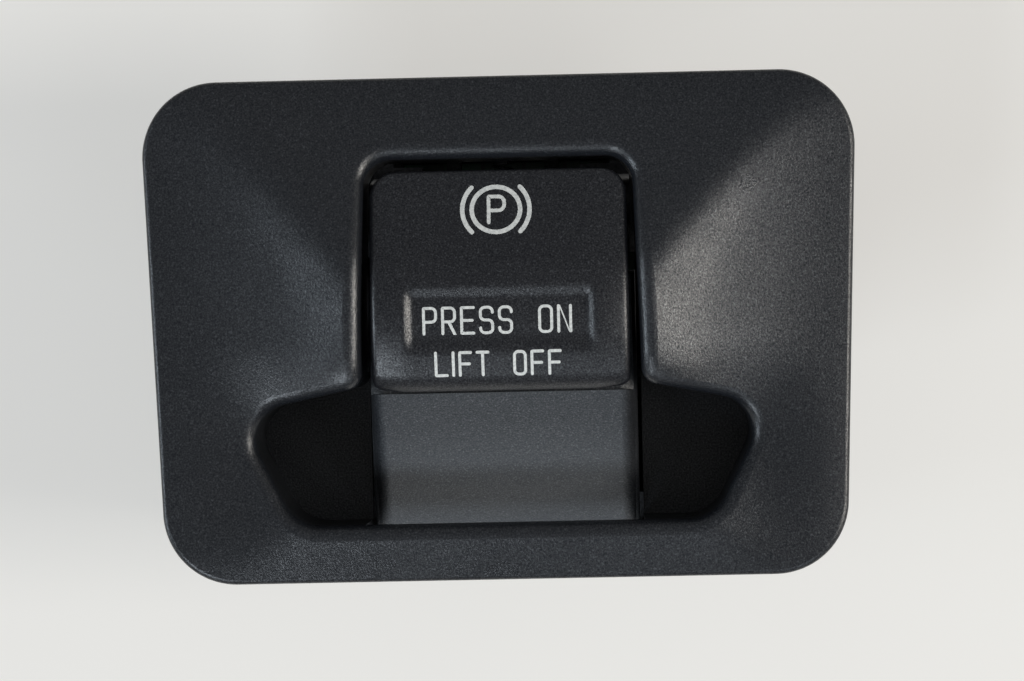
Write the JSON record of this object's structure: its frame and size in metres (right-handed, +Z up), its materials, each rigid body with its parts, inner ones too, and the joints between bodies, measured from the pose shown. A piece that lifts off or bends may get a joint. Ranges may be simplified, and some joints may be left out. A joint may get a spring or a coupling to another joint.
{
  "type": "parking brake switch",
  "caption": "Push and pull parking brake switch: black face plate with a raised hood, a swinging key and two finger wells.",
  "frame": {"origin": "centre of the face plate's seat on the dashboard panel, on the plane of the seat", "axes": "+Y points back into the dashboard, along the seat's normal; the front faces -Y, +X is to the right seen from the front, +Z is up"},
  "size_m": [0.099, 0.0538, 0.07],
  "materials": {
    "bezel_plastic": "fine spark-eroded grain",
    "cap_plastic": "soft-touch satin",
    "grip_plastic": "coarse grain",
    "housing_plastic": "plain moulded",
    "slider_plastic": "natural acetal",
    "spring_steel": "oiled",
    "ground_steel": "ground",
    "zinc_screws": "zinc plated",
    "bronze_bush": "sintered",
    "stop_rubber": "moulded",
    "board_resist": "solder resist",
    "contact_gold": "gold flash",
    "lamp_white": "ceramic and clear lens",
    "guide_clear": "polished clear",
    "chip_black": "moulded epoxy"
  },
  "bodies": {
    "base": {"bezel": "bezel_plastic", "panel_clips": "spring_steel", "switch_housing": "housing_plastic", "housing_screws": "zinc_screws", "pivot_pin": "ground_steel", "stop_pads": "stop_rubber", "upper_spring": "spring_steel", "lower_spring": "spring_steel", "circuit_board": "board_resist", "board_screws": "zinc_screws", "contact_tracks": "contact_gold", "backlight_leds": "lamp_white", "controller_chip": "chip_black", "board_components": "chip_black", "pin_header": "housing_plastic", "connector_pins": "contact_gold", "rear_cover": "housing_plastic", "cover_screws": "zinc_screws"},
    "key": {"key_cap": "cap_plastic", "grip_body": "grip_plastic", "light_guide": "guide_clear", "pivot_bushes": "bronze_bush", "drive_pin": "ground_steel"},
    "slider": {"contact_slider": "slider_plastic", "contact_wipers": "contact_gold"}
  },
  "joints": [
    {"name": "key_pivot", "type": "hinge", "parent": "base", "child": "key", "pos_m": [0, 0.0035, 0.0175], "axis": [1, 0, 0], "range_deg": [-8, 5], "stiffness_Nm_per_rad": 1.5},
    {"name": "slider_travel", "type": "slide", "parent": "base", "child": "slider", "axis": [0, 0, 1], "range_m": [-0.0024, 0.0015], "deforming": ["upper_spring", "lower_spring"]}
  ],
  "couplings": [
    {"joint": "slider_travel", "follows": "key_pivot", "m_per_rad": 0.0165}
  ]
}
